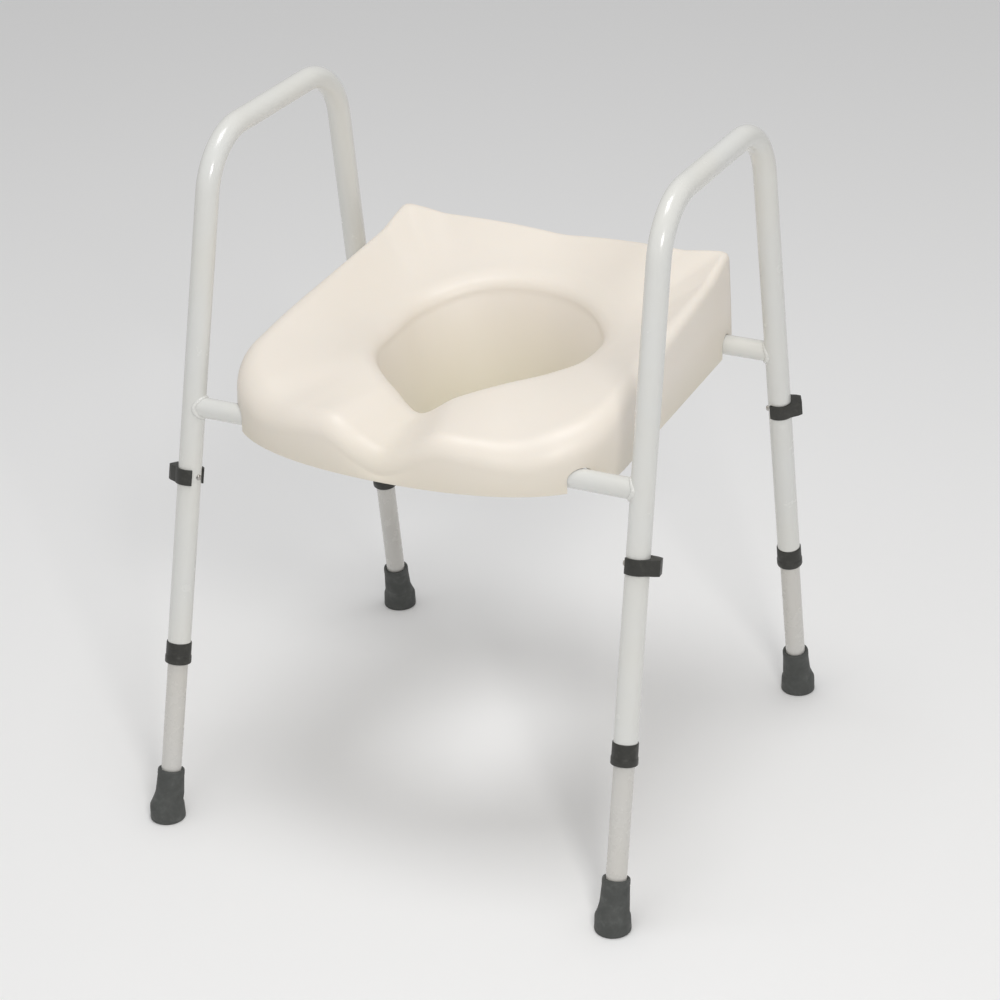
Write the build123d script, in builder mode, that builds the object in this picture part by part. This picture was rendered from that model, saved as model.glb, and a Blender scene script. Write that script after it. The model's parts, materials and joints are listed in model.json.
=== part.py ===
"""Raised toilet seat on a free-standing frame with arm rests.

Millimetres. +Z is up, +X is the sitter's right-hand side seen from the front,
+Y points to the back of the toilet. The origin is on the floor, midway between
the four feet.
"""
from build123d import *
from math import atan2, degrees, hypot, pi, radians
import os

os.makedirs("parts", exist_ok=True)

# ---- Driving dimensions -------------------------------------------------

# Tubes
OUTER_OD = 25.4            # bent side tubes
OUTER_WALL = 1.5
INNER_OD = 22.2            # adjustable legs, a 0.1 mm running fit in the outer tube
INNER_WALL = 1.5
RAIL_OD = 22.2             # cross rails under the seat
RAIL_WALL = 1.5

# Side frames: centre line of the leg at the floor and at the arm rest's corner, as (x, y)
ARM_Z = 738.5              # centre line of the arm rest
BEND_R = 72.0              # centre line radius of the two bends
LEG_AT_FLOOR = {"front": (270.0, -270.0), "back": (264.5, 270.0)}
LEG_AT_ARM = {"front": (256.5, -102.5), "back": (255.5, 159.0)}
SIDES = {"left": -1, "right": 1}

RAIL_Z = 458.0             # centre line of both rails
WELD_LEG = 2.6             # size of the fillet weld round each rail end

# Stations along a leg's centre line, measured from the floor along the leg
TUBE_END_S = 187.0         # lower end of the outer tube
COLLAR_LOW_S = 181.0
COLLAR_HIGH_S = 205.0
CLIP_S = 393.0             # locking pin
INNER_TOP_S = 458.0        # top of the inner leg at the middle height setting
BORE_FLOOR_S = 10.0        # bottom of the ferrule's bore
WASHER_T = 1.5
FERRULE_TOP_S = 57.0
SHOULDER_S = 29.0          # where the ferrule's shoulder meets its barrel

# Height adjustment
HOLE_PITCH = 25.0
HOLES_BELOW = 4            # holes under the one in use: the frame can drop by 100
HOLES_ABOVE = 2            # holes over the one in use: the frame can rise by 50

# Locking clip
PIN_R = 3.0
PIN_CLEARANCE = 0.05       # between the pin and the holes in both tubes
PIN_TIP = 2.6              # how far the pin stands out of the far wall
CLIP_H = 17.0
CLIP_GAP = 0.3             # between the band and the outer tube
BAND_T = 2.3
BAND_MOUTH = 75.0          # open angle of the C band, degrees
BLOCK_W = 18.0
BLOCK_OUT = 9.0            # how far the block stands out of the band
BLOCK_R = 2.5
CLIP_TURN = {"front": 12.0, "back": 27.0}   # block's angle from square out, to the back

# Collar
COLLAR_R_LOW = 14.4
COLLAR_R_HIGH = 13.8
RUN_CLEARANCE = 0.08       # between the collar's lip and the inner leg

# Ferrule
FOOT_R = 19.5
FOOT_TOP_R = 18.9
FOOT_H = 19.0
BARREL_LOW_R = 15.8
BARREL_HIGH_R = 14.0
TREAD_R = (9.0, 12.0)      # one ring groove in the sole
TREAD_DEPTH = 1.5

# Seat
SEAT_X = -6.0              # it sits a little to the left of the frame's middle
SKIRT_Z = 445.0            # lower edge of the skirt
SEAT_TOP = 600.0           # above every part of the seat, for trimming
SHELL_T = 3.5
SEAT_FRONT_Y = -229.5
SEAT_BACK_Y = 225.0
SEAT_FRONT_HALF_W = 220.0
SEAT_BACK_HALF_W = 205.0
SEAT_WIDEST_Y = -107.0
FRONT_CORNER_Y = -206.0    # pull of the big front corner
FRONT_FLAT = 98.0          # half length of the nearly straight front
BACK_CORNER_R = 10.0
NOTCH_GAP = 1.0            # round each rail where it goes through the skirt
DISH = 1.45                # how hollow the top is from the opening's rim to the edge
RIM_W = 9.0                # the top is level this far out from the opening

# Pear-shaped opening: half width, back, front tip, and where it is widest
GUARD_LOW_Z, GUARD_LOW = 392.0, (84.0, 122.0, -108.0, 25.0)
RIM_Z, RIM = 490.0, (118.0, 156.0, -130.0, 60.0)
FLARE_Z, FLARE = 560.0, (128.0, 166.0, -146.0, 62.0)
NOSE = 39.0                # half length of the tip's nearly straight end
PEAR = 0.8                 # pull of the flanks towards the tip

# Heights against the angle from the middle of the front, in degrees
RIM_HEIGHTS = [(0, 484), (18, 504), (40, 513), (70, 510), (100, 504), (130, 507), (155, 519), (180, 523)]
EDGE_HEIGHTS = [(0, 471), (7, 480), (16, 500), (26, 496), (36, 491), (46, 503), (55, 514), (63, 521), (80, 532),
                (100, 539), (119, 545), (131, 550), (138, 554), (147, 556), (160, 555), (172, 554), (180, 553)]

# Seat-to-rail clips
SADDLE_L = 36.0
SADDLE_WALL = 2.2
SADDLE_GAP = 0.3           # between the saddle and the rail
SADDLE_LOW_Z = 450.0
SADDLE_TOP_Z = 475.0
SADDLE_X = 140.0
SCREW_X = 10.0             # each side of the saddle's middle
SCREW_R = 2.0
SCREW_HEAD_R = 3.8
SCREW_RIM = 0.6            # how far the screw head sits up inside the saddle's crown
SCREW_L = 14.0             # length in the seat's boss
BOSS_W = 34.0              # boss across the rail

OUTER_R = OUTER_OD / 2
INNER_R = INNER_OD / 2
RAIL_R = RAIL_OD / 2


# ---- Places -------------------------------------------------------------

def leg_line(end, side):
    """Foot of a leg's centre line and its unit direction, upwards."""
    (x0, y0), (x1, y1) = LEG_AT_FLOOR[end], LEG_AT_ARM[end]
    foot = Vector(SIDES[side] * x0, y0, 0)
    top = Vector(SIDES[side] * x1, y1, ARM_Z)
    return foot, (top - foot).normalized()


def leg_at(end, side, station):
    foot, up = leg_line(end, side)
    return foot + up * station


def leg_at_height(end, side, z):
    foot, up = leg_line(end, side)
    return foot + up * (z / up.Z)


def clip_direction(end, side):
    """The way the clip's block points: outwards, turned to the back, square to the leg."""
    outwards = Vector(SIDES[side], 0, 0).rotate(Axis.Z, SIDES[side] * CLIP_TURN[end])
    up = leg_line(end, side)[1]
    return (outwards - up * outwards.dot(up)).normalized()


def leg_plane(end, side, station):
    """Plane square to the leg, with X along the clip's direction."""
    up = leg_line(end, side)[1]
    return Plane(leg_at(end, side, station), x_dir=clip_direction(end, side), z_dir=up)


def pin_plane(end, side, station):
    """Plane square to the locking pin, through the leg's centre line."""
    return Plane(leg_at(end, side, station), z_dir=clip_direction(end, side))


def rail_y(end):
    return leg_at_height(end, "right", RAIL_Z).Y


def save(builder, name, x=0.0):
    piece = builder.part.moved(Location((x, 0, 0)))
    piece.label = name
    export_step(piece, f"parts/{name}.step")


# ---- Frame --------------------------------------------------------------

def side_tube(side):
    corners = [Vector(SIDES[side] * x, y, ARM_Z) for x, y in LEG_AT_ARM.values()]
    ends = [leg_at(end, side, TUBE_END_S) for end in LEG_AT_ARM]
    with BuildPart() as tube:
        with BuildLine() as path:
            FilletPolyline(ends[0], corners[0], corners[1], ends[1], radius=BEND_R)
        with BuildSketch(Plane(path.line @ 0, z_dir=path.line % 0)):
            Circle(OUTER_R)
            Circle(OUTER_R - OUTER_WALL, mode=Mode.SUBTRACT)
        sweep(path=path.line)
        for end in LEG_AT_ARM:
            with BuildSketch(pin_plane(end, side, CLIP_S)):
                Circle(PIN_R + PIN_CLEARANCE)
            extrude(amount=OUTER_OD, both=True, mode=Mode.SUBTRACT)
    return tube


def rail(end):
    reach = leg_at_height(end, "right", RAIL_Z).X
    with BuildPart() as tube:
        with BuildSketch(Plane.YZ):
            with Locations((rail_y(end), RAIL_Z)):
                Circle(RAIL_R)
                Circle(RAIL_R - RAIL_WALL, mode=Mode.SUBTRACT)
        extrude(amount=reach, both=True)
        for side in SIDES:            # coped ends that fit round the legs
            with BuildSketch(leg_plane(end, side, 0)):
                Circle(OUTER_R)
            extrude(amount=ARM_Z, mode=Mode.SUBTRACT)
    return tube


def rail_weld(end, side):
    """Fillet of weld metal between a rail's end and the leg."""
    start = leg_at_height(end, side, RAIL_Z)
    inwards = Plane(start, z_dir=(-SIDES[side], 0, 0))
    with BuildPart() as bead:
        with BuildSketch(inwards):
            Circle(RAIL_R + WELD_LEG)
        extrude(amount=OUTER_OD)
        with BuildSketch(leg_plane(end, side, 0)):
            Circle(OUTER_R + WELD_LEG)
        extrude(amount=ARM_Z, mode=Mode.INTERSECT)
        with BuildSketch(leg_plane(end, side, 0)):
            Circle(OUTER_R)
        extrude(amount=ARM_Z, mode=Mode.SUBTRACT)
        with BuildSketch(inwards):
            Circle(RAIL_R)
        extrude(amount=OUTER_OD, mode=Mode.SUBTRACT)
    return bead


def end_collar(end, side):
    """Moulded collar on the outer tube's lower end, with a lip that guides the inner leg."""
    axis_plane = Plane(leg_at(end, side, 0), x_dir=clip_direction(end, side),
                       z_dir=clip_direction(end, side).cross(leg_line(end, side)[1]))
    bore = INNER_R + RUN_CLEARANCE
    with BuildPart() as collar:
        with BuildSketch(axis_plane):
            with BuildLine():
                Polyline((bore, COLLAR_LOW_S), (COLLAR_R_LOW, COLLAR_LOW_S),
                         (COLLAR_R_LOW, COLLAR_LOW_S + 8), (COLLAR_R_HIGH, COLLAR_LOW_S + 10),
                         (COLLAR_R_HIGH, COLLAR_HIGH_S), (OUTER_R, COLLAR_HIGH_S),
                         (OUTER_R, TUBE_END_S), (bore, TUBE_END_S), close=True)
            make_face()
        revolve(axis=Axis(leg_at(end, side, 0), leg_line(end, side)[1]))
        outer_rims = collar.edges().filter_by(GeomType.CIRCLE)
        outer_rims = outer_rims.filter_by(lambda e: e.radius > OUTER_R + 0.5)
        fillet(outer_rims.group_by(SortBy.RADIUS)[-1].sort_by(Axis.Z)[0], 0.8)
    return collar


# ---- Adjustable legs ----------------------------------------------------

def inner_leg(end, side):
    low = BORE_FLOOR_S + WASHER_T
    with BuildPart() as leg:
        with BuildSketch(leg_plane(end, side, low)):
            Circle(INNER_R)
            Circle(INNER_R - INNER_WALL, mode=Mode.SUBTRACT)
        extrude(amount=INNER_TOP_S - low)
        for step in range(-HOLES_BELOW, HOLES_ABOVE + 1):
            with BuildSketch(pin_plane(end, side, CLIP_S + step * HOLE_PITCH)):
                Circle(PIN_R + PIN_CLEARANCE)
            extrude(amount=INNER_OD, both=True, mode=Mode.SUBTRACT)
    return leg


def ferrule_washer(end, side):
    with BuildPart() as washer:
        with BuildSketch(leg_plane(end, side, BORE_FLOOR_S)):
            Circle(INNER_R)
            Circle(INNER_R / 2, mode=Mode.SUBTRACT)
        extrude(amount=WASHER_T)
    return washer


def ferrule(end, side):
    """Rubber foot: level sole on the floor, barrel in line with the leaning leg."""
    floor = Plane(leg_at(end, side, 0), x_dir=clip_direction(end, side), z_dir=(0, 0, 1))
    with BuildPart() as rubber:
        with BuildSketch(floor):
            Circle(FOOT_R)
        with BuildSketch(floor.offset(FOOT_H)):
            Circle(FOOT_TOP_R)
        with BuildSketch(leg_plane(end, side, SHOULDER_S)):
            Circle(BARREL_LOW_R)
        with BuildSketch(leg_plane(end, side, FERRULE_TOP_S)):
            Circle(BARREL_HIGH_R)
        loft(ruled=True)
        with BuildSketch(leg_plane(end, side, BORE_FLOOR_S)):
            Circle(INNER_R)
        extrude(amount=FERRULE_TOP_S, mode=Mode.SUBTRACT)
        with BuildSketch(floor):
            Circle(TREAD_R[1])
            Circle(TREAD_R[0], mode=Mode.SUBTRACT)
        extrude(amount=TREAD_DEPTH, mode=Mode.SUBTRACT)
    return rubber


# ---- Locking clips ------------------------------------------------------

def clip_band(end, side):
    """C-shaped band that snaps round the outer tube, with the block that holds the pin."""
    bore = OUTER_R + CLIP_GAP
    mouth = BAND_MOUTH / 2
    with BuildPart() as band:
        with BuildSketch(leg_plane(end, side, CLIP_S - CLIP_H / 2)):
            Circle(bore + BAND_T)
            with Locations((bore + (BAND_T + BLOCK_OUT) / 2, 0)):
                Rectangle(BAND_T + BLOCK_OUT, BLOCK_W)
            Circle(bore, mode=Mode.SUBTRACT)
            with BuildLine():
                far = PolarLine((0, 0), 3 * bore, 180 - mouth)
                near = PolarLine((0, 0), 3 * bore, 180 + mouth)
                Line(far @ 1, near @ 1)
            make_face(mode=Mode.SUBTRACT)
        extrude(amount=CLIP_H)
        up = leg_line(end, side)[1]
        far_corners = band.edges().filter_by(Axis(leg_at(end, side, 0), up))
        out = Axis(leg_at(end, side, 0), clip_direction(end, side))
        fillet(far_corners.sort_by(out)[-2:], BLOCK_R)
        with BuildSketch(pin_plane(end, side, CLIP_S)):
            Circle(PIN_R)
        extrude(amount=bore + BAND_T + BLOCK_OUT / 2, mode=Mode.SUBTRACT)
    return band


def clip_pin(end, side):
    held = OUTER_R + CLIP_GAP + BAND_T + BLOCK_OUT / 2
    with BuildPart() as pin:
        with BuildSketch(pin_plane(end, side, CLIP_S).offset(-OUTER_R - PIN_TIP)):
            Circle(PIN_R)
        extrude(amount=OUTER_R + PIN_TIP + held)
        out = Axis(leg_at(end, side, CLIP_S), clip_direction(end, side))
        fillet(pin.edges().filter_by(GeomType.CIRCLE).sort_by(out)[0], 1.2)
    return pin


# ---- Seat ---------------------------------------------------------------

def ease(low, high, value):
    """0 below low, 1 above high, with a smooth rise between."""
    t = min(1.0, max(0.0, (value - low) / (high - low)))
    return t * t * (3 - 2 * t)


def through(stations, angle):
    """Smooth curve through (angle, height) stations, level at both ends."""
    last = len(stations) - 2
    i = max(k for k in range(last + 1) if stations[k][0] <= angle)
    (x0, y0), (x1, y1) = stations[i], stations[i + 1]
    before, after = stations[max(i - 1, 0)], stations[min(i + 2, last + 1)]
    rise0 = (y1 - before[1]) / (x1 - before[0]) if i else 0
    rise1 = (after[1] - y0) / (after[0] - x0) if i < last else 0
    span = x1 - x0
    t = (angle - x0) / span
    value = y0 * (2 * t ** 3 - 3 * t ** 2 + 1) + y1 * (3 * t ** 2 - 2 * t ** 3)
    return value + span * (rise0 * (t ** 3 - 2 * t ** 2 + t) + rise1 * (t ** 3 - t ** 2))


def pear(half_w, back, tip, widest):
    """Right half of an opening's outline, from its tip to its back."""
    flank = widest - PEAR * (widest - tip)
    nose = Bezier((0, tip), (NOSE, tip), (half_w, flank), (half_w, widest))
    tail = EllipticalCenterArc((0, widest), half_w, back - widest, 0, arc_size=90)
    return [nose, tail]


def skirt(inset=0.0):
    """Right half of the skirt's outline, from the middle of the front to the middle of the back."""
    front, back = SEAT_FRONT_Y + inset, SEAT_BACK_Y - inset
    wide, narrow = SEAT_FRONT_HALF_W - inset, SEAT_BACK_HALF_W - inset
    corner = FRONT_CORNER_Y + inset / 2
    bow = Bezier((0, front), (FRONT_FLAT - inset / 2, front), (wide, corner), (wide, SEAT_WIDEST_Y))
    flank = Line((wide, SEAT_WIDEST_Y), (narrow, back))
    return [bow, flank, Line((narrow, back), (0, back))]


def by_angle(lines, count=60):
    """A half outline as (angle from the middle of the front, distance from the origin)."""
    spots = [line @ (k / count) for line in lines for k in range(count + 1)]
    return sorted((atan2(spot.X, -spot.Y), hypot(spot.X, spot.Y)) for spot in spots)


def reach(table, angle):
    """Distance of a half outline from the origin, at an angle from the middle of the front."""
    angle = min(max(angle, table[0][0]), table[-1][0])
    low = max(k for k in range(len(table) - 1) if table[k][0] <= angle)
    span = table[low + 1][0] - table[low][0]
    t = (angle - table[low][0]) / span if span else 0
    return table[low][1] + t * (table[low + 1][1] - table[low][1])


RIM_TABLE = by_angle(pear(*RIM))
EDGE_TABLE = by_angle(skirt())
BLUR = [(-8, 1), (0, 2), (8, 1)]      # degrees and weight


def soft_edge(turn):
    """Distance of the edge from the origin with its corners smoothed away."""
    total = 0.0
    for shift, weight in BLUR:
        angle = abs(turn + radians(shift))
        total += weight * reach(EDGE_TABLE, min(angle, 2 * pi - angle))
    return total / sum(weight for shift, weight in BLUR)


def top_height(x, y):
    """Height of the contoured top of the seat."""
    turn, away = atan2(abs(x), -y), hypot(x, y)
    rim_z, edge_z = through(RIM_HEIGHTS, degrees(turn)), through(EDGE_HEIGHTS, degrees(turn))
    start = reach(RIM_TABLE, turn) + RIM_W
    t = max((away - start) / (soft_edge(turn) - start), 0)
    middle_z = RIM_HEIGHTS[3][1]
    rim_z = middle_z + (rim_z - middle_z) * ease(0, 90, away)
    return rim_z + (edge_z - rim_z) * t ** DISH


def top_surface(drop):
    xs = [-240 + 12 * i for i in range(41)]
    ys = [-252 + 12 * i for i in range(41)]
    points = [[Vector(x, y, top_height(x, y) - drop) for y in ys] for x in xs]
    return Face.make_surface_from_array_of_points(points, min_deg=3, max_deg=3, tol=0.4)


def seat_block(inset, drop):
    """Everything inside the seat's skirt and under its top, drawn in by inset."""
    with BuildPart() as block:
        with BuildSketch(Plane.XY.offset(SKIRT_Z)):
            with BuildLine():
                add(skirt(inset))
                mirror(about=Plane.YZ)
            make_face()
            fillet(vertices().sort_by(Axis.Y)[-2:], BACK_CORNER_R - inset)
        extrude(amount=SEAT_TOP - SKIRT_Z)
        extrude(top_surface(drop), amount=SEAT_TOP, dir=(0, 0, 1), mode=Mode.SUBTRACT)
    return block


def chute(skin):
    """Solid inside the splash guard, or with skin the same grown by the wall."""
    with BuildPart() as core:
        for z, (half_w, back, tip, widest) in ((GUARD_LOW_Z, GUARD_LOW), (RIM_Z, RIM), (FLARE_Z, FLARE)):
            with BuildSketch(Plane.XY.offset(z)):
                with BuildLine():
                    add(pear(half_w + skin, back + skin, tip - skin, widest))
                    mirror(about=Plane.YZ)
                make_face()
        loft(ruled=True)
    return core


def boss(end, side):
    with BuildPart() as post:
        with BuildSketch(Plane.XY.offset(SADDLE_TOP_Z)):
            with Locations((SIDES[side] * SADDLE_X, rail_y(end))):
                RectangleRounded(SADDLE_L, min(BOSS_W, 2 * (SEAT_BACK_Y - rail_y("back") - 2)), 3)
        extrude(amount=SEAT_TOP - SADDLE_TOP_Z)
    return post


def seat_shell():
    opening = chute(0)
    guard = chute(SHELL_T)
    with BuildPart() as lower_guard:
        add(guard.part)
        split(bisect_by=Plane.XY.offset(SKIRT_Z + SHELL_T), keep=Keep.BOTTOM)
    with BuildPart() as hollow:
        add(seat_block(SHELL_T, SHELL_T).part)
        add(guard.part, mode=Mode.SUBTRACT)
        for end in LEG_AT_ARM:
            for side in SIDES:
                add(boss(end, side).part, mode=Mode.SUBTRACT)
    with BuildPart() as shell:
        add(seat_block(0, 0).part)
        add(hollow.part, mode=Mode.SUBTRACT)
        add(lower_guard.part)
        add(opening.part, mode=Mode.SUBTRACT)
        for end in LEG_AT_ARM:
            with BuildSketch(Plane.YZ):
                notch = RAIL_R + NOTCH_GAP
                with Locations((rail_y(end), RAIL_Z)):
                    Circle(notch)
                with Locations((rail_y(end), RAIL_Z - notch)):
                    Rectangle(2 * notch, 2 * notch)
            extrude(amount=SEAT_FRONT_HALF_W + SHELL_T, both=True, mode=Mode.SUBTRACT)
            for side in SIDES:
                for step in (-SCREW_X, SCREW_X):
                    with BuildSketch(Plane.XY.offset(SADDLE_TOP_Z)):
                        with Locations((SIDES[side] * SADDLE_X + step, rail_y(end))):
                            Circle(SCREW_R)
                    extrude(amount=SCREW_L, mode=Mode.SUBTRACT)
    return shell


def saddle(end, side):
    """Clip under the seat that sits over a rail and lifts straight off it."""
    bore = RAIL_R + SADDLE_GAP
    middle = Plane.YZ.offset(SIDES[side] * SADDLE_X)
    with BuildPart() as clip:
        with BuildSketch(middle):
            with Locations((rail_y(end), (SADDLE_LOW_Z + SADDLE_TOP_Z) / 2)):
                Rectangle(2 * (bore + SADDLE_WALL), SADDLE_TOP_Z - SADDLE_LOW_Z)
            with Locations((rail_y(end), RAIL_Z)):
                Circle(bore, mode=Mode.SUBTRACT)
            with Locations((rail_y(end), RAIL_Z - bore)):
                Rectangle(2 * bore, 2 * bore, mode=Mode.SUBTRACT)
        extrude(amount=SADDLE_L / 2, both=True)
        for step in (-SCREW_X, SCREW_X):
            place = Plane((SIDES[side] * SADDLE_X + step, rail_y(end), SADDLE_TOP_Z))
            add(screw(place).part, mode=Mode.SUBTRACT)
    return clip


def screw(place):
    """Countersunk screw whose shank goes up from the place's plane into the seat."""
    crown = SADDLE_TOP_Z - RAIL_Z - RAIL_R - SADDLE_GAP
    cone = SCREW_HEAD_R - SCREW_R
    with BuildPart() as fastener:
        with BuildSketch(place.offset(-crown + SCREW_RIM)):
            Circle(SCREW_HEAD_R)
        with BuildSketch(place.offset(-crown + SCREW_RIM + cone)):
            Circle(SCREW_R)
        loft()
        with BuildSketch(place.offset(-crown + SCREW_RIM)):
            Circle(SCREW_R)
        extrude(amount=crown - SCREW_RIM + SCREW_L)
    return fastener


# ---- Write every piece --------------------------------------------------

for side in SIDES:
    save(side_tube(side), f"side_tube_{side}")

for end in LEG_AT_ARM:
    save(rail(end), f"{end}_rail")
    for side in SIDES:
        corner = f"{end}_{side}"
        save(rail_weld(end, side), f"rail_weld_{corner}")
        save(end_collar(end, side), f"end_collar_{corner}")
        save(inner_leg(end, side), f"inner_leg_{corner}")
        save(ferrule_washer(end, side), f"ferrule_washer_{corner}")
        save(ferrule(end, side), f"ferrule_{corner}")
        save(clip_band(end, side), f"clip_band_{corner}")
        save(clip_pin(end, side), f"clip_pin_{corner}")
        save(saddle(end, side), f"seat_saddle_{corner}", SEAT_X)

save(seat_shell(), "seat_shell", SEAT_X)

with BuildPart() as seat_screws:
    for end in LEG_AT_ARM:
        for side in SIDES:
            for step in (-SCREW_X, SCREW_X):
                spot = (SIDES[side] * SADDLE_X + step, rail_y(end), SADDLE_TOP_Z)
                add(screw(Plane(spot)).part)
save(seat_screws, "seat_screws", SEAT_X)
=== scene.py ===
"""Looks of the raised toilet seat: smooth meshes, materials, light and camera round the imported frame."""

import json
import math

import bmesh
import bpy
import numpy as np
from mathutils import Matrix, Vector


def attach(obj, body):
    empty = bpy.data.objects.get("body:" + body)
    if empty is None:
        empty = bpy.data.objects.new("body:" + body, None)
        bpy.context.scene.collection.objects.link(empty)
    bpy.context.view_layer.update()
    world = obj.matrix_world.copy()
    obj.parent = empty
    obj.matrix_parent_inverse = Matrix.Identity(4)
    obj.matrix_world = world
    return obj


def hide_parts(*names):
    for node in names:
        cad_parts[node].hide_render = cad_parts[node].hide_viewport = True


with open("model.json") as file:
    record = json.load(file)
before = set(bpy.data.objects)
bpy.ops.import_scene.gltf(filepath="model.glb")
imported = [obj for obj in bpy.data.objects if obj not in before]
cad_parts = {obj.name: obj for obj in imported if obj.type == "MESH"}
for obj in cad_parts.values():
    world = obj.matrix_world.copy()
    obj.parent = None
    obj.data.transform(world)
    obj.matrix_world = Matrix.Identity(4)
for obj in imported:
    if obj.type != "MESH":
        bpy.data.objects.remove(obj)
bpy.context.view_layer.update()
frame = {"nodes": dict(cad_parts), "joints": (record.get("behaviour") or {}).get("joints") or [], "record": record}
record = frame["record"]

MM = 0.001
MERGE = 1e-6                              # metres between points that count as one

# ---- Sizes, mm, as in the CAD model -------------------------------------

# Names ending in _Z are heights, names ending in _S are distances up a leg from the floor

ARM_Z = 738.5                             # centre line of the arm rests
BEND_R = 72.0
OUTER_R, OUTER_BORE = 12.7, 11.2          # radii of the bent tubes
INNER_R, INNER_BORE = 11.1, 9.6           # radii of the adjustable legs
RAIL_Z, RAIL_R = 458.0, 11.1
TUBE_END_S, COLLAR_LOW_S, COLLAR_HIGH_S = 187.0, 181.0, 205.0
CLIP_S, CLIP_H = 393.0, 17.0
PIN_R, HOLE_R = 3.0, 3.05
CUTTER_HALF_L = 30.0                      # reaches through both walls of a tube
INNER_LOW_S, INNER_TOP_S = 11.5, 458.0
HOLE_STEPS = range(-4, 3)                 # holes below and above the one in use
HOLE_PITCH = 25.0
BLOCK_END = 24.3                          # how far a clip's block stands out from the leg's axis
SADDLE_X, SADDLE_TOP_Z = 140.0, 475.0
TUBE_SEGMENTS = 72
TIP_R = 1e-4                              # radius of a ring that closes a surface to a point

SIDES = {"left": -1, "right": 1}
ENDS = ("front", "back")
CORNERS = [(end, side) for end in ENDS for side in SIDES]

# ---- Places, from the frame ---------------------------------------------

joint_axis = {j["name"]: Vector(j["axis"]).normalized() for j in frame["joints"]}
foot_point = {m["name"].removeprefix("foot_"): Vector(m["pos_m"]) / MM for m in record["mounts"]}


def leg_up(corner):
    return joint_axis[f"leg_height_{corner}"]


def clip_out(corner):
    return joint_axis[f"clip_pull_{corner}"]


def leg_at(corner, station):
    return foot_point[corner] + leg_up(corner) * station


def leg_at_height(corner, z):
    return foot_point[corner] + leg_up(corner) * (z / leg_up(corner).z)


# ---- Mesh helpers, in mm -------------------------------------------------

def new_piece(name, verts, faces, body, material, replaces=(), sharp=35):
    """A mesh object from points in mm, riding on a body and standing for CAD nodes."""
    mesh = bpy.data.meshes.new(name)
    mesh.from_pydata([tuple(c * MM for c in v) for v in verts], [], faces)
    obj = bpy.data.objects.new(name, mesh)
    bpy.context.collection.objects.link(obj)
    clean(obj)
    finish_shading(obj, sharp)
    mesh.materials.append(material)
    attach(obj, body)
    if replaces:
        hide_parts(*replaces)
    return obj


def clean(obj):
    """Joins points that coincide and turns every face outwards."""
    bm = bmesh.new()
    bm.from_mesh(obj.data)
    bmesh.ops.remove_doubles(bm, verts=bm.verts, dist=MERGE)
    bmesh.ops.recalc_face_normals(bm, faces=bm.faces)
    bm.to_mesh(obj.data)
    bm.free()


def finish_shading(obj, sharp):
    """Smooth shading, with edges sharper than an angle in degrees kept crisp."""
    obj.data.polygons.foreach_set("use_smooth", [True] * len(obj.data.polygons))
    obj.data.set_sharp_from_angle(angle=math.radians(sharp))


def apply_modifiers(obj):
    """Puts the result of a piece's modifiers into its mesh."""
    graph = bpy.context.evaluated_depsgraph_get()
    mesh = bpy.data.meshes.new_from_object(obj.evaluated_get(graph))
    obj.modifiers.clear()
    old = obj.data
    obj.data = mesh
    bpy.data.meshes.remove(old)


def cut(obj, verts, faces):
    """Takes a closed shape, given in mm, away from a piece."""
    mesh = bpy.data.meshes.new("cutter")
    mesh.from_pydata([tuple(c * MM for c in v) for v in verts], [], faces)
    cutter = bpy.data.objects.new("cutter", mesh)
    bpy.context.collection.objects.link(cutter)
    clean(cutter)
    mod = obj.modifiers.new("cut", "BOOLEAN")
    mod.operation = "DIFFERENCE"
    mod.solver = "EXACT"
    mod.object = cutter
    bpy.context.view_layer.update()
    apply_modifiers(obj)
    bpy.data.objects.remove(cutter)
    bpy.data.meshes.remove(mesh)


def bevel(obj, width, segments, angle):
    """Rounds the edges that turn by more than an angle in degrees."""
    mod = obj.modifiers.new("bevel", "BEVEL")
    mod.width = width * MM
    mod.segments = segments
    mod.limit_method = "ANGLE"
    mod.angle_limit = math.radians(angle)
    mod.harden_normals = False
    apply_modifiers(obj)


def grid(rows, closed_rows=False):
    """Vertices and quads for a list of rings of points, one after another."""
    count, width = len(rows), len(rows[0])
    verts = [p for row in rows for p in row]
    faces = []
    for i in range(count if closed_rows else count - 1):
        for j in range(width):
            a, b = i * width, ((i + 1) % count) * width
            k = (j + 1) % width
            faces.append((a + j, a + k, b + k, b + j))
    return verts, faces


def ring(centre, normal, across, radius, segments):
    """Points of a circle, starting towards across."""
    side = normal.cross(across).normalized()
    start = side.cross(normal).normalized()
    turn = [math.tau * k / segments for k in range(segments)]
    return [centre + (start * math.cos(a) + side * math.sin(a)) * radius for a in turn]


def lathe(centre_at, normal, across, profile, segments, closed=False):
    """Surface of revolution: profile is a list of (radius, station)."""
    rows = [ring(centre_at(s), normal, across, max(r, TIP_R), segments) for r, s in profile]
    return grid(rows, closed_rows=closed)


def lathe_on_leg(corner, profile):
    """Closed surface of revolution about a leg: profile is a list of (radius, station)."""
    return lathe(lambda s: leg_at(corner, s), leg_up(corner), clip_out(corner), profile, TUBE_SEGMENTS,
                 closed=True)


def round_corner(a, b, c, radius, steps):
    """Arc that rounds the corner b between a and c: its points, without the ends of the runs."""
    to_a, to_c = (a - b).normalized(), (c - b).normalized()
    half = to_a.angle(to_c) / 2
    setback = radius / math.tan(half)
    middle = b + (to_a + to_c).normalized() * (radius / math.sin(half))
    start, stop = b + to_a * setback - middle, b + to_c * setback - middle
    axis = start.cross(stop).normalized()
    swing = start.angle(stop)
    return [middle + Matrix.Rotation(swing * k / steps, 3, axis) @ start for k in range(steps + 1)]


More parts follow.
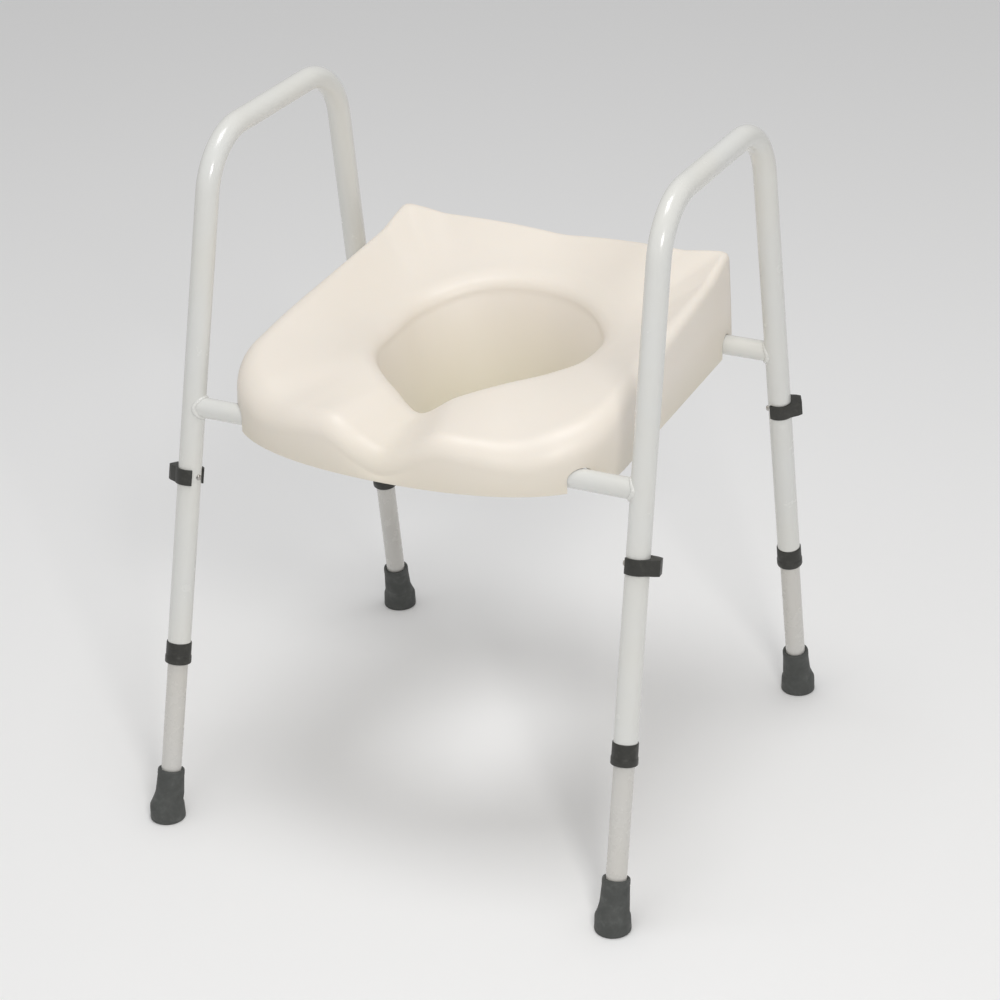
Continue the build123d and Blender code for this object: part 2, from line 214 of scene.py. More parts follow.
def cylinder_cutter(middle, axis, radius, half_length):
    """Closed cylinder to cut a cross hole with."""
    profile = [(TIP_R, -half_length), (radius, -half_length), (radius, half_length), (TIP_R, half_length)]
    return lathe(lambda d: middle + axis * d, axis, axis.orthogonal(), profile, 32)


# ---- Materials -------------------------------------------------------------

def material(name):
    """A new material: itself, its nodes and links, and its shader."""
    mat = bpy.data.materials.new(name)
    mat.use_nodes = True
    nodes, links = mat.node_tree.nodes, mat.node_tree.links
    return mat, nodes, links, nodes["Principled BSDF"]


def noise(nodes, links, scale, detail=4.0, roughness=0.5, stretch=(1, 1, 1)):
    """Noise in object space, as wide as 1/scale metres, drawn out by stretch."""
    place = nodes.new("ShaderNodeTexCoord")
    mapping = nodes.new("ShaderNodeMapping")
    mapping.inputs["Scale"].default_value = stretch
    tex = nodes.new("ShaderNodeTexNoise")
    tex.inputs["Scale"].default_value = scale
    tex.inputs["Detail"].default_value = detail
    tex.inputs["Roughness"].default_value = roughness
    links.new(place.outputs["Object"], mapping.inputs["Vector"])
    links.new(mapping.outputs["Vector"], tex.inputs["Vector"])
    return tex.outputs["Fac"]


def ramp(nodes, links, source, stops):
    """Colour ramp: stops is a list of (position, colour)."""
    node = nodes.new("ShaderNodeValToRGB")
    for element, (position, colour) in zip(node.color_ramp.elements, (stops[0], stops[-1])):
        element.position, element.color = position, (*colour, 1)
    for position, colour in stops[1:-1]:
        node.color_ramp.elements.new(position).color = (*colour, 1)
    links.new(source, node.inputs["Fac"])
    return node.outputs["Color"]


def spread(nodes, links, source, low, high):
    """Maps noise from its usual 0.3 to 0.7 onto low to high."""
    node = nodes.new("ShaderNodeMapRange")
    node.inputs["From Min"].default_value = 0.3
    node.inputs["From Max"].default_value = 0.7
    node.inputs["To Min"].default_value = low
    node.inputs["To Max"].default_value = high
    links.new(source, node.inputs["Value"])
    return node.outputs["Result"]


def bump(nodes, links, shader, source, strength, distance, below=None):
    """Fine relief on a shader, on top of the relief below; distance in metres."""
    node = nodes.new("ShaderNodeBump")
    node.inputs["Strength"].default_value = strength
    node.inputs["Distance"].default_value = distance
    links.new(source, node.inputs["Height"])
    if below is not None:
        links.new(below, node.inputs["Normal"])
    links.new(node.outputs["Normal"], shader.inputs["Normal"])
    return node.outputs["Normal"]


def shade(colour, factor):
    """A lighter or darker version of a colour."""
    return tuple(c * factor for c in colour)


def powder_coat(name, colour, gloss=0.2):
    """Stoved white powder coat: faint orange peel, slight yellowing and hand marks."""
    mat, nodes, links, shader = material(name)
    patches = noise(nodes, links, 9, detail=3)
    warm = (colour[0], colour[1] * 0.985, colour[2] * 0.955)
    links.new(ramp(nodes, links, patches, [(0.35, colour), (0.7, warm)]), shader.inputs["Base Color"])
    marks = noise(nodes, links, 38, detail=6, roughness=0.65)
    links.new(spread(nodes, links, marks, gloss - 0.04, gloss + 0.09), shader.inputs["Roughness"])
    peel = noise(nodes, links, 620, detail=2)
    bump(nodes, links, shader, peel, 0.16, 0.00018)
    shader.inputs["Coat Weight"].default_value = 0.35
    shader.inputs["Coat Roughness"].default_value = 0.12
    return mat


def moulded_seat(name, colour):
    """Satin cream moulding: very fine flow marks, soft glow in the edges, and painted shade that makes the colour
    darker and yellower low down.
    """
    mat, nodes, links, shader = material(name)
    patches = noise(nodes, links, 5, detail=3)
    pale = (min(1, colour[0] * 1.02), min(1, colour[1] * 1.025), min(1, colour[2] * 1.04))
    tint = ramp(nodes, links, patches, [(0.35, colour), (0.68, pale)])
    place = nodes.new("ShaderNodeTexCoord")
    parts = nodes.new("ShaderNodeSeparateXYZ")
    links.new(place.outputs["Object"], parts.inputs["Vector"])
    # Painted shade: a darker, yellower colour is multiplied in towards the bottom, down the chute and on the lower
    # skirt, standing in for shade
    shade_low_down = nodes.new("ShaderNodeMapRange")
    shade_low_down.inputs["From Min"].default_value = 0.495       # painted shade starts at the top's low places
    shade_low_down.inputs["From Max"].default_value = 0.400       # and is fullest at the splash guard's edge
    links.new(parts.outputs["Z"], shade_low_down.inputs["Value"])
    painted_shade = nodes.new("ShaderNodeMixRGB")
    painted_shade.blend_type = "MULTIPLY"
    painted_shade.inputs["Color2"].default_value = (0.80, 0.80, 0.72, 1)
    links.new(shade_low_down.outputs["Result"], painted_shade.inputs["Fac"])
    links.new(tint, painted_shade.inputs["Color1"])
    links.new(painted_shade.outputs["Color"], shader.inputs["Base Color"])
    marks = noise(nodes, links, 24, detail=6, roughness=0.6)
    links.new(spread(nodes, links, marks, 0.40, 0.50), shader.inputs["Roughness"])
    grain = noise(nodes, links, 900, detail=2)
    fine = bump(nodes, links, shader, grain, 0.05, 0.0001)
    flow = noise(nodes, links, 16, detail=2, stretch=(1, 0.5, 1))
    bump(nodes, links, shader, flow, 0.06, 0.0006, below=fine)
    shader.inputs["Subsurface Weight"].default_value = 0.06
    shader.inputs["Subsurface Radius"].default_value = (0.012, 0.009, 0.006)
    shader.inputs["Subsurface Scale"].default_value = 0.6
    shader.inputs["Coat Weight"].default_value = 0.12
    shader.inputs["Coat Roughness"].default_value = 0.32
    return mat


def moulded_black(name, colour):
    """Black nylon: spark-eroded grain and paler scuffs."""
    mat, nodes, links, shader = material(name)
    scuffs = noise(nodes, links, 160, detail=8, roughness=0.7)
    stops = [(0.5, colour), (0.66, shade(colour, 1.5)), (0.8, shade(colour, 2.6))]
    links.new(ramp(nodes, links, scuffs, stops), shader.inputs["Base Color"])
    links.new(spread(nodes, links, noise(nodes, links, 90), 0.38, 0.55), shader.inputs["Roughness"])
    bump(nodes, links, shader, noise(nodes, links, 1400, detail=2), 0.3, 0.00012)
    return mat


def moulded_rubber(name, colour):
    """Grey rubber: matt, dusty, with scrapes round it."""
    mat, nodes, links, shader = material(name)
    dust = noise(nodes, links, 70, detail=7, roughness=0.65)
    stops = [(0.35, shade(colour, 0.8)), (0.55, colour), (0.75, shade(colour, 1.55))]
    links.new(ramp(nodes, links, dust, stops), shader.inputs["Base Color"])
    links.new(spread(nodes, links, noise(nodes, links, 120), 0.55, 0.75), shader.inputs["Roughness"])
    scrapes = noise(nodes, links, 110, detail=5, roughness=0.7, stretch=(0.25, 0.25, 3.2))
    coarse = bump(nodes, links, shader, scrapes, 0.35, 0.0004)
    bump(nodes, links, shader, noise(nodes, links, 1100, detail=2), 0.25, 0.00015, below=coarse)
    return mat


def steel(name, colour, rough):
    """Plated steel with fine drawn lines."""
    mat, nodes, links, shader = material(name)
    patches = noise(nodes, links, 140, detail=5)
    stops = [(0.3, shade(colour, 0.8)), (0.7, colour)]
    links.new(ramp(nodes, links, patches, stops), shader.inputs["Base Color"])
    lines = noise(nodes, links, 400, detail=3, stretch=(1, 1, 6))
    links.new(spread(nodes, links, lines, rough - 0.06, rough + 0.1), shader.inputs["Roughness"])
    bump(nodes, links, shader, lines, 0.1, 0.0001)
    shader.inputs["Metallic"].default_value = 1.0
    return mat


def moulded_white(name, colour):
    """White nylon of the hidden saddles."""
    mat, nodes, links, shader = material(name)
    patches = noise(nodes, links, 60, detail=5)
    stops = [(0.35, shade(colour, 0.93)), (0.7, colour)]
    links.new(ramp(nodes, links, patches, stops), shader.inputs["Base Color"])
    links.new(spread(nodes, links, noise(nodes, links, 80), 0.38, 0.5), shader.inputs["Roughness"])
    bump(nodes, links, shader, noise(nodes, links, 1200, detail=2), 0.2, 0.0001)
    return mat


frame_paint = powder_coat("frame_paint", (0.715, 0.72, 0.70))
leg_paint = powder_coat("leg_paint", (0.62, 0.61, 0.585), gloss=0.24)
seat_plastic = moulded_seat("seat_plastic", (0.84, 0.775, 0.69))
black_plastic = moulded_black("black_plastic", (0.028, 0.028, 0.024))
ferrule_rubber = moulded_rubber("ferrule_rubber", (0.070, 0.074, 0.070))
pin_steel = steel("pin_steel", (0.55, 0.53, 0.5), 0.32)
zinc_steel = steel("zinc_steel", (0.62, 0.62, 0.6), 0.36)
white_plastic = moulded_white("white_plastic", (0.75, 0.75, 0.72))


# ---- Frame tubes -----------------------------------------------------------

def arm_corner(corner):
    """Where the centre lines of a leg and its arm rest would meet."""
    return leg_at_height(corner, ARM_Z)


def side_tube(side):
    """Bent tube: front outer leg, arm rest and back outer leg in one."""
    front, back = f"front_{side}", f"back_{side}"
    a, b, c, d = leg_at(front, TUBE_END_S), arm_corner(front), arm_corner(back), leg_at(back, TUBE_END_S)
    path = [a.lerp(b, t) for t in (0, 0.25, 0.5, 0.75)] + round_corner(a, b, c, BEND_R, 28)
    path += round_corner(b, c, d, BEND_R, 28) + [d.lerp(c, t) for t in (0.75, 0.5, 0.25, 0)]
    across = Vector((SIDES[side], 0, 0))
    ways = [(after - before).normalized() for before, after in zip(path[:1] + path[:-1], path[1:] + path[-1:])]
    outside = [ring(p, way, across, OUTER_R, TUBE_SEGMENTS) for p, way in zip(path, ways)]
    inside = [ring(p, way, across, OUTER_BORE, TUBE_SEGMENTS) for p, way in zip(path, ways)]
    verts, faces = grid(outside + inside[::-1], closed_rows=True)
    tube = new_piece(f"side_tube_{side}_skin", verts, faces, "frame", frame_paint,
                     replaces=(f"side_tube_{side}",))
    for corner in (front, back):
        cut(tube, *cylinder_cutter(leg_at(corner, CLIP_S), clip_out(corner), HOLE_R, CUTTER_HALF_L))
    finish_shading(tube, 35)
    return tube


JOINT_POINTS = 96                         # points round the joint of a rail and a leg


def rail_joint(corner, rail_r=RAIL_R, leg_r=OUTER_R):
    """Curve where a round bar on the rail's axis meets a round leg, in mm, as a closed loop."""
    side = SIDES[corner.split("_")[1]]
    up, start = leg_up(corner), leg_at_height(corner, RAIL_Z)
    loop = []
    for k in range(JOINT_POINTS):
        turn = math.tau * k / JOINT_POINTS
        off = Vector((0, rail_r * math.cos(turn), rail_r * math.sin(turn)))
        # distance from the leg's axis to start + off + x * inwards is the leg's radius
        inwards = Vector((-side, 0, 0))
        flat_off, flat_in = off - up * off.dot(up), inwards - up * inwards.dot(up)
        qa, qb, qc = flat_in.dot(flat_in), 2 * flat_off.dot(flat_in), flat_off.dot(flat_off) - leg_r ** 2
        x = (-qb + math.sqrt(max(qb * qb - 4 * qa * qc, 0))) / (2 * qa)
        point = start + off + inwards * x
        from_leg = (point - start) - up * (point - start).dot(up)
        loop.append((point, off.normalized(), from_leg.normalized()))
    return loop


def rail(end):
    """Straight rail whose ends are shaped to the legs."""
    left = [p for p, _, _ in rail_joint(f"{end}_left")]
    right = [p for p, _, _ in rail_joint(f"{end}_right")]
    cap_radii = (TIP_R, 3.0, 6.0, 9.0, RAIL_R - 0.3)          # the ends are hollowed to fit round the legs
    caps = {side: [[p for p, _, _ in rail_joint(f"{end}_{side}", r, OUTER_R - 0.4)] for r in cap_radii]
            for side in SIDES}
    rows = [[a.lerp(b, t) for a, b in zip(left, right)] for t in (0, 0.02, 0.25, 0.5, 0.75, 0.98, 1)]
    verts, faces = grid(caps["left"] + rows + caps["right"][::-1])
    return new_piece(f"{end}_rail_skin", verts, faces, "frame", frame_paint,
                     replaces=(f"{end}_rail",))


def clear_of_bore(corner, point):
    """The same point, moved out of the bore that the inner leg slides in."""
    off = point - leg_at(corner, 0)
    off -= leg_up(corner) * off.dot(leg_up(corner))
    return point + off.normalized() * max(OUTER_R - 0.9 - off.length, 0)


def weld(corner):
    """Painted weld bead round a rail's end, with its ripples."""
    rows = []
    for k, (point, off_rail, off_leg) in enumerate(rail_joint(corner)):
        out = (off_rail + off_leg).normalized()
        along = off_rail.cross(off_leg).normalized()
        size = 2.5 + 0.18 * math.cos(k * math.tau / 4) + 0.25 * math.sin(k * math.tau / 48 + 1)
        centre = point - out * 0.4
        rows.append([clear_of_bore(corner, p) for p in ring(centre, along, out, size, 20)])
    verts, faces = grid(rows, closed_rows=True)
    return new_piece(f"rail_weld_{corner}_bead", verts, faces, "frame", frame_paint,
                     replaces=(f"rail_weld_{corner}",), sharp=80)


def collar(corner):
    """End collar: rounded lip, plain sleeve and a raised foot ring."""
    low, high = COLLAR_LOW_S, COLLAR_HIGH_S
    profile = [(11.18, low + 0.6), (11.6, low), (13.6, low), (14.2, low + 0.3), (14.45, low + 1.0),
               (14.45, low + 7.0), (14.3, low + 7.8), (13.95, low + 8.6), (13.85, low + 9.6),
               (13.8, high - 1.2), (13.6, high - 0.4), (13.2, high), (12.72, high),
               (12.72, TUBE_END_S), (11.18, TUBE_END_S)]
    verts, faces = lathe_on_leg(corner, profile)
    return new_piece(f"end_collar_{corner}_moulding", verts, faces, "frame", black_plastic,
                     replaces=(f"end_collar_{corner}",), sharp=50)


# ---- Adjustable legs ---------------------------------------------------------

def inner_leg(corner):
    """Leg tube with its row of cross holes."""
    profile = [(INNER_R - 0.4, INNER_LOW_S), (INNER_R, INNER_LOW_S + 0.4), (INNER_R, INNER_TOP_S - 0.4),
               (INNER_R - 0.4, INNER_TOP_S), (INNER_BORE, INNER_TOP_S), (INNER_BORE, INNER_LOW_S)]
    verts, faces = lathe_on_leg(corner, profile)
    leg = new_piece(f"inner_leg_{corner}_tube", verts, faces, f"leg_{corner}", leg_paint,
                    replaces=(f"inner_leg_{corner}",))
    for step in HOLE_STEPS:
        hole = leg_at(corner, CLIP_S + step * HOLE_PITCH)
        cut(leg, *cylinder_cutter(hole, clip_out(corner), HOLE_R, CUTTER_HALF_L))
    finish_shading(leg, 35)
    return leg


def ferrule(corner):
    """Rubber foot: rings lie level at the sole and square to the leg up the barrel."""
    up, foot = leg_up(corner), foot_point[corner]
    level = Vector((0, 0, 1))
    # (radius, height or station, how far the ring leans from level to square with the leg)
    rings = [(0.001, 0, 0), (9.0, 0, 0), (9.2, 0.3, 0), (9.4, 1.5, 0), (11.6, 1.5, 0), (11.8, 0.3, 0),
             (12.0, 0, 0), (17.6, 0, 0), (18.7, 0.25, 0), (19.3, 1.0, 0), (19.5, 2.2, 0), (19.45, 5, 0),
             (19.3, 5.6, 0), (19.3, 6.3, 0), (19.35, 6.9, 0), (19.1, 15.5, 0), (18.9, 17.4, 0.02),
             (18.3, 18.9, 0.06), (17.6, 20.6, 0.2), (16.9, 23.2, 0.5), (16.35, 26, 0.8), (16.0, 28.5, 0.95),
             (15.75, 31, 1), (15.1, 42, 1), (14.75, 49, 1), (14.75, 50, 1), (14.95, 50.8, 1),
             (14.85, 55.2, 1), (14.5, 56.4, 1), (13.8, 57, 1), (12.2, 57, 1), (11.5, 56.4, 1),
             (11.15, 55.4, 1), (11.12, 12, 1), (0.001, 12, 1)]
    rows = []
    for radius, height, lean in rings:
        centre = (foot + level * height).lerp(foot + up * height, lean)
        rows.append(ring(centre, level.lerp(up, lean).normalized(), clip_out(corner), radius, TUBE_SEGMENTS))
    verts, faces = grid(rows)
    return new_piece(f"ferrule_{corner}_rubber", verts, faces, f"leg_{corner}",
                     ferrule_rubber, replaces=(f"ferrule_{corner}",), sharp=60)


# ---- Locking clips -----------------------------------------------------------

def clip(corner):
    """C band with a wedge-sided block that holds the pin."""
    bore, skin, mouth = 13.0, 15.3, 75.0                      # two radii, and the mouth's angle in degrees
    reach = math.radians(180 - mouth / 2)
    block = [(10.0, 11.4), (19.6, 8.9), (BLOCK_END, 6.4)]        # half outline of the block
    flank = [math.atan2(y, x) for x, y in block]
    turns = sorted({*np.linspace(-reach, reach, 57), *flank, *[-a for a in flank]})

    def outside(turn):
        turn = abs(turn)
        if turn >= flank[0]:
            return skin
        if turn <= flank[2]:
            return BLOCK_END / math.cos(turn)
        (x1, y1), (x2, y2) = block[:2] if turn >= flank[1] else block[1:]
        dx, dy, cx, cy = x2 - x1, y2 - y1, math.cos(turn), math.sin(turn)
        return (x1 * dy - y1 * dx) / (cx * dy - cy * dx)

    up, out = leg_up(corner), clip_out(corner)
    side = up.cross(out)
    low, high = leg_at(corner, CLIP_S - CLIP_H / 2), leg_at(corner, CLIP_S + CLIP_H / 2)
    rows = []
    for turn in turns:
        way = out * math.cos(turn) + side * math.sin(turn)
        near, far = way * bore, way * outside(turn)
        rows.append([low + near, low + far, high + far, high + near])
    verts, faces = grid(rows)
    faces += [(0, 3, 2, 1), tuple(len(verts) - 4 + k for k in range(4))]
    band = new_piece(f"clip_band_{corner}_moulding", verts, faces, f"clip_{corner}",
                     black_plastic, replaces=(f"clip_band_{corner}",))
    bevel(band, 0.7, segments=3, angle=20)
    finish_shading(band, 40)
    return band


def pin(corner):
    """Cross pin with a rounded tip, held in the clip's block."""
    tip, held = -15.3, 19.5                                   # distances from the leg's axis
    profile = [(0.001, tip), (1.4, tip + 0.1), (2.4, tip + 0.5), (2.85, tip + 1.1), (PIN_R, tip + 1.9),
               (PIN_R, held), (0.001, held)]
    middle = leg_at(corner, CLIP_S)
    out = clip_out(corner)
    verts, faces = lathe(lambda s: middle + out * s, out, leg_up(corner), profile, 40)
    return new_piece(f"clip_pin_{corner}_rod", verts, faces, f"clip_{corner}", pin_steel,
                     replaces=(f"clip_pin_{corner}",))


# ---- Seat ----------------------------------------------------------------------

SKIRT_Z, CHUTE_Z = 445.0, 392.0           # lower edges of the skirt and of the splash guard
SEAT_X = -6.0                             # the seat sits a little to the left on its rails
SHELL_T = 3.5
RIM_W, RIM_H = 25.0, 19.0                 # width and height of the rolled rim
RIM_CREST = 0.42                          # share of the rim's width at which the hollow top starts
DISH = 1.45                               # how hollow the top is: 1 would be straight from rim to edge
BLUR_TURNS, BLUR_WEIGHTS = (-8, 0, 8), (1, 2, 1)     # degrees and weights that smooth the corners away
NOTCH_GAP = 1.0                           # between a rail and the notch in the skirt over it
COLUMNS = 420                             # points round the seat


def through(stations, value):
    """Smooth curve through (position, height) stations, level at both ends."""
    xs, ys = np.array(stations, float).T
    slope = np.zeros_like(ys)
    slope[1:-1] = (ys[2:] - ys[:-2]) / (xs[2:] - xs[:-2])
    i = np.clip(np.searchsorted(xs, value) - 1, 0, len(xs) - 2)
    span = xs[i + 1] - xs[i]
    t = (value - xs[i]) / span
    return ((2 * t ** 3 - 3 * t ** 2 + 1) * ys[i] + (t ** 3 - 2 * t ** 2 + t) * span * slope[i]
            + (3 * t ** 2 - 2 * t ** 3) * ys[i + 1] + (t ** 3 - t ** 2) * span * slope[i + 1])


# Against the angle from the middle of the front, in degrees: heights of the rim and of the outer edge, and the
# radius that the outer edge is rounded with
RIM_HEIGHTS = [(0, 485), (18, 506), (40, 515), (70, 511), (100, 504), (130, 507), (155, 520), (180, 524)]
EDGE_HEIGHTS = [(0, 471), (7, 480), (16, 500), (26, 496), (36, 491), (46, 503), (55, 514), (63, 522.5),
                (80, 535), (100, 542.5), (119, 549), (131, 553.5), (138, 556.5), (144, 559), (156, 559.5),
                (166, 558.5), (172, 557), (180, 555)]
EDGE_ROUNDS = [(0, 20), (20, 23), (35, 25), (50, 30), (66, 25), (90, 22), (119, 18), (138, 13),
               (150, 10), (180, 9)]


def bezier(points, count):
    """Points along a cubic curve with four control points."""
    t = np.linspace(0, 1, count)[:, None]
    p = np.array(points, float)
    return (1 - t) ** 3 * p[0] + 3 * (1 - t) ** 2 * t * p[1] + 3 * (1 - t) * t ** 2 * p[2] + t ** 3 * p[3]


def outline_half(front_y, half_w, back_w, back_y, corner_r):
    """Half of a skirt outline, from the middle of the front to the middle of the back."""
    bow = bezier([(0, front_y), (98, front_y), (half_w, -206), (half_w, -107)], 80)
    along = np.linspace(0, 1, 40)[1:, None]
    flank = bow[-1] + along * (np.array([back_w, back_y - corner_r]) - bow[-1])
    turn = np.linspace(0, math.pi / 2, 16)[1:]
    corner = np.stack([back_w - corner_r + corner_r * np.cos(turn),
                       back_y - corner_r + corner_r * np.sin(turn)], 1)
    back = np.linspace(back_w - corner_r, 0, 40)[1:]
    return np.concatenate([bow, flank, corner, np.stack([back, np.full(len(back), back_y)], 1)])


def opening_half(half_w, back_y, tip_y, widest_y):
    """Half of the pear-shaped opening, from its front tip to its back."""
    pull_y = widest_y - 0.8 * (widest_y - tip_y)
    front = bezier([(0, tip_y), (39, tip_y), (half_w, pull_y), (half_w, widest_y)], 60)
    turn = np.linspace(0, math.pi / 2, 50)[1:]
    back = np.stack([half_w * np.cos(turn), widest_y + (back_y - widest_y) * np.sin(turn)], 1)
    return np.concatenate([front, back])


def radius_at(half, angles):
    """Distance from the origin to a mirrored half outline, at each angle."""
    turn = np.arctan2(half[:, 0], -half[:, 1])               # 0 at the front, pi at the back
    away = np.hypot(half[:, 0], half[:, 1])
    return np.interp(np.abs(angles), turn, away)


def fold(angles):
    """The same directions, as angles between -pi and pi."""
    return (angles + math.pi) % (2 * math.pi) - math.pi


# Outlines of the skirt at its lower and upper edge, and of the splash guard at its upper and lower edge
SKIRT_FOOT = outline_half(-229.5, 220, 205, 225, 8)
SKIRT_EDGE = outline_half(-226.5, 219, 202.5, 224.5, 9)
RIM = opening_half(113.5, 152, -123, 62)
GUARD = opening_half(84, 122, -108, 25)


def top_height(angles, radius):
    """Height of the seat's hollow top, by direction and distance from its middle."""
    start = radius_at(RIM, angles) + RIM_W * RIM_CREST
    soft = sum(weight * radius_at(SKIRT_EDGE, fold(angles + shift))
               for shift, weight in zip(np.radians(BLUR_TURNS), BLUR_WEIGHTS)) / sum(BLUR_WEIGHTS)
    degrees = np.degrees(np.abs(angles))
    rim_z = through(RIM_HEIGHTS, degrees)
    t = np.maximum((radius - start) / (soft - start), 0)
    return rim_z + (through(EDGE_HEIGHTS, degrees) - rim_z) * t ** DISH


def seat_rows():
    """Rings of the seat's outer skin, from the splash guard's lower edge over the top to the skirt's."""
    angles = np.linspace(-math.pi, math.pi, COLUMNS, endpoint=False)
    way = np.stack([np.sin(angles), -np.cos(angles)], 1)
    rim, edge = radius_at(RIM, angles), radius_at(SKIRT_EDGE, angles)
    foot, guard = radius_at(SKIRT_FOOT, angles), radius_at(GUARD, angles)
    edge_r = through(EDGE_ROUNDS, np.degrees(np.abs(angles)))

    def at(radius, z):
        return np.column_stack([way * radius[:, None] + (SEAT_X, 0), z])

    rows = []
    wall_top = top_height(angles, rim) - RIM_H
    for t in np.linspace(0, 1, 26)[:-1]:                      # up the splash guard's wall
        rows.append(at(guard + (rim - guard) * t, CHUTE_Z + (wall_top - CHUTE_Z) * t))
    for t in np.linspace(0, math.pi / 2, 14):                 # over the rolled rim
        radius = rim + RIM_W * (1 - math.cos(t))
        rows.append(at(radius, top_height(angles, radius) - RIM_H * (1 - math.sin(t))))
    start, stop = rim + RIM_W, edge - edge_r
    for t in np.linspace(0, 1, 40)[1:-1]:                     # across the top
        radius = start + (stop - start) * t
        rows.append(at(radius, top_height(angles, radius)))
    for t in np.linspace(math.pi / 2, 0, 14):                 # round the outer edge
        radius = edge - edge_r * (1 - math.cos(t))
        rows.append(at(radius, top_height(angles, radius) - edge_r * (1 - math.sin(t))))
    skirt_top = top_height(angles, edge) - edge_r
    for t in np.linspace(0, 1, 18)[1:]:                       # down the skirt
        radius = edge + (foot - edge) * math.sin(t * math.pi / 2)
        rows.append(at(radius, skirt_top + (SKIRT_Z - skirt_top) * t))
    return rows


def boss(corner):
    """Moulded block under the seat that a saddle is screwed to."""
    middle_x = SIDES[corner.split("_")[1]] * SADDLE_X - SEAT_X
    middle_y = leg_at_height(corner, RAIL_Z).y
    half_x, half_y, round_r = 18.0, 17.0, 3.0
    outline = []
    for quarter, (right, back) in enumerate([(1, 1), (-1, 1), (-1, -1), (1, -1)]):
        for turn in np.linspace(0, math.pi / 2, 5) + quarter * math.pi / 2:
            outline.append((middle_x + right * (half_x - round_r) + round_r * math.cos(turn),
                            middle_y + back * (half_y - round_r) + round_r * math.sin(turn)))
    x, y = np.array(outline).T
    angles, radius = np.arctan2(x, -y), np.hypot(x, y)
    edge_r = through(EDGE_ROUNDS, np.degrees(np.abs(angles)))
    out = np.clip(radius - radius_at(SKIRT_EDGE, angles) + edge_r, 0, edge_r)
    inside_wall = SHELL_T * 0.6                               # the block ends inside the shell's wall
    top = top_height(angles, radius) - edge_r + np.sqrt(edge_r ** 2 - out ** 2) - inside_wall
    rows = [[Vector((a + SEAT_X, b, z)) for a, b, z in zip(x, y, level)]
            for level in (np.full(len(x), SADDLE_TOP_Z), top)]
    verts, faces = grid(rows)
    count = len(x)
    faces += [tuple(range(count))[::-1], tuple(range(count, 2 * count))]
    return new_piece(f"seat_boss_{corner}", verts, faces, "seat", seat_plastic)


def seat_shell():
    """The whole moulding: its skin given a wall, and notches cut in the skirt for the rails."""
    rows = [[Vector(p) for p in row] for row in seat_rows()]
    verts, faces = grid(rows)
    shell = new_piece("seat_moulding", verts, faces, "seat", seat_plastic,
                      replaces=("seat_shell",))
    solid = shell.modifiers.new("wall", "SOLIDIFY")
    solid.thickness = SHELL_T * MM
    solid.offset = -1.0
    apply_modifiers(shell)
    for end in ENDS:
        spot = leg_at_height(f"{end}_right", RAIL_Z)
        notch_r, reach, drop = RAIL_R + NOTCH_GAP, 240.0, 30.0
        turn = np.linspace(0, math.pi, 25)
        arch = [(spot.y + notch_r * math.cos(a), RAIL_Z + notch_r * math.sin(a)) for a in turn]
        arch += [(spot.y - notch_r, RAIL_Z - drop), (spot.y + notch_r, RAIL_Z - drop)]
        rings = [[Vector((x, y, z)) for y, z in arch] for x in (-reach, reach)]
        cutter_verts, cutter_faces = grid(rings)
        count = len(arch)
        cutter_faces += [tuple(range(count))[::-1], tuple(range(count, 2 * count))]
        cut(shell, cutter_verts, cutter_faces)
    finish_shading(shell, 40)
    return shell


# ---- Make every piece ------------------------------------------------------------

for side in SIDES:
    side_tube(side)
for end in ENDS:
    rail(end)
for end, side in CORNERS:
    corner = f"{end}_{side}"
    weld(corner)
    collar(corner)
    inner_leg(corner)
    ferrule(corner)
    clip(corner)
    pin(corner)
    boss(corner)
seat_shell()

# CAD nodes that keep their shape and get a finish
for name, obj in frame["nodes"].items():
    finish = None
    if name.startswith("seat_saddle"):
        finish = white_plastic
    elif name.startswith("ferrule_washer") or name == "seat_screws":
        finish = zinc_steel
    if finish:
        obj.data.materials.clear()
        obj.data.materials.append(finish)


# ---- Stage, light and camera ---------------------------------------------------------

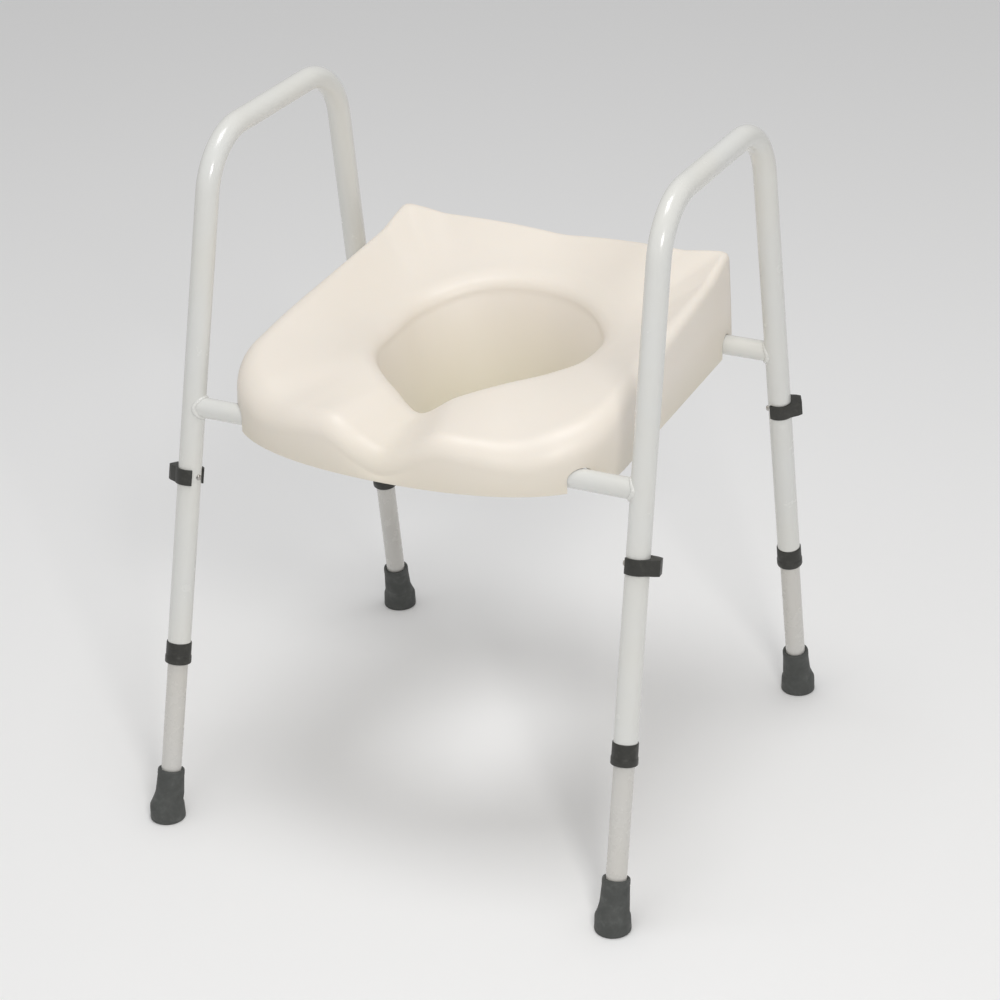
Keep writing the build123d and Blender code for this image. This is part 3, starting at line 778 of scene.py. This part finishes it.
def stage():
    """Pale floor, wide enough to fill the view."""
    mat, _, _, shader = material("floor_paint")
    shader.inputs["Base Color"].default_value = (0.93, 0.93, 0.93, 1)
    shader.inputs["Roughness"].default_value = 0.7
    half = 6.0
    mesh = bpy.data.meshes.new("floor")
    corners = [(-half, -half, 0), (half, -half, 0), (half, half, 0), (-half, half, 0)]
    mesh.from_pydata(corners, [], [(0, 1, 2, 3)])
    mesh.materials.append(mat)
    floor = bpy.data.objects.new("floor", mesh)
    bpy.context.collection.objects.link(floor)


def softbox(name, place, aim, size, power, colour=(1, 1, 1)):
    """Rectangular light: place, aim and size in metres, power in watts."""
    light = bpy.data.lights.new(name, "AREA")
    light.shape = "RECTANGLE"
    light.size, light.size_y = size
    light.energy = power
    light.color = colour
    obj = bpy.data.objects.new(name, light)
    obj.location = place
    obj.rotation_euler = (Vector(aim) - Vector(place)).to_track_quat("-Z", "Y").to_euler()
    bpy.context.collection.objects.link(obj)


def camera():
    """Looks down from the front right, with a slight roll."""
    azimuth, elevation, roll = math.radians(26.978), math.radians(26.522), math.radians(-1.775)
    distance, aim = 3.39898, Vector((0.016672, 0, 0.323265))
    back = Vector((math.sin(azimuth) * math.cos(elevation), -math.cos(azimuth) * math.cos(elevation),
                   math.sin(elevation)))
    level = Vector((0, 0, 1)).cross(back).normalized()
    upright = back.cross(level)
    right = level * math.cos(roll) + upright * math.sin(roll)
    up = back.cross(right)
    data = bpy.data.cameras.new("camera")
    data.lens, data.sensor_width = 111.93, 36.0
    obj = bpy.data.objects.new("camera", data)
    turned = Matrix((right, up, back)).transposed().to_4x4()
    obj.matrix_world = Matrix.Translation(aim + back * distance) @ turned
    bpy.context.collection.objects.link(obj)
    bpy.context.scene.camera = obj


stage()
softbox("key", (1.9, -2.3, 2.5), (0, 0, 0.45), (0.65, 0.65), 34, (1.0, 0.985, 0.965))
softbox("fill", (-2.6, -1.6, 1.8), (0, 0, 0.4), (2.2, 2.2), 3)
softbox("top", (0.1, -0.2, 3.2), (0, 0, 0.4), (1.1, 1.1), 26)
camera()

world = bpy.data.worlds.new("studio")
world.use_nodes = True
world.node_tree.nodes["Background"].inputs["Color"].default_value = (1, 1, 1, 1)
world.node_tree.nodes["Background"].inputs["Strength"].default_value = 0.5
bpy.context.scene.world = world
bpy.context.scene.view_settings.view_transform = "Standard"
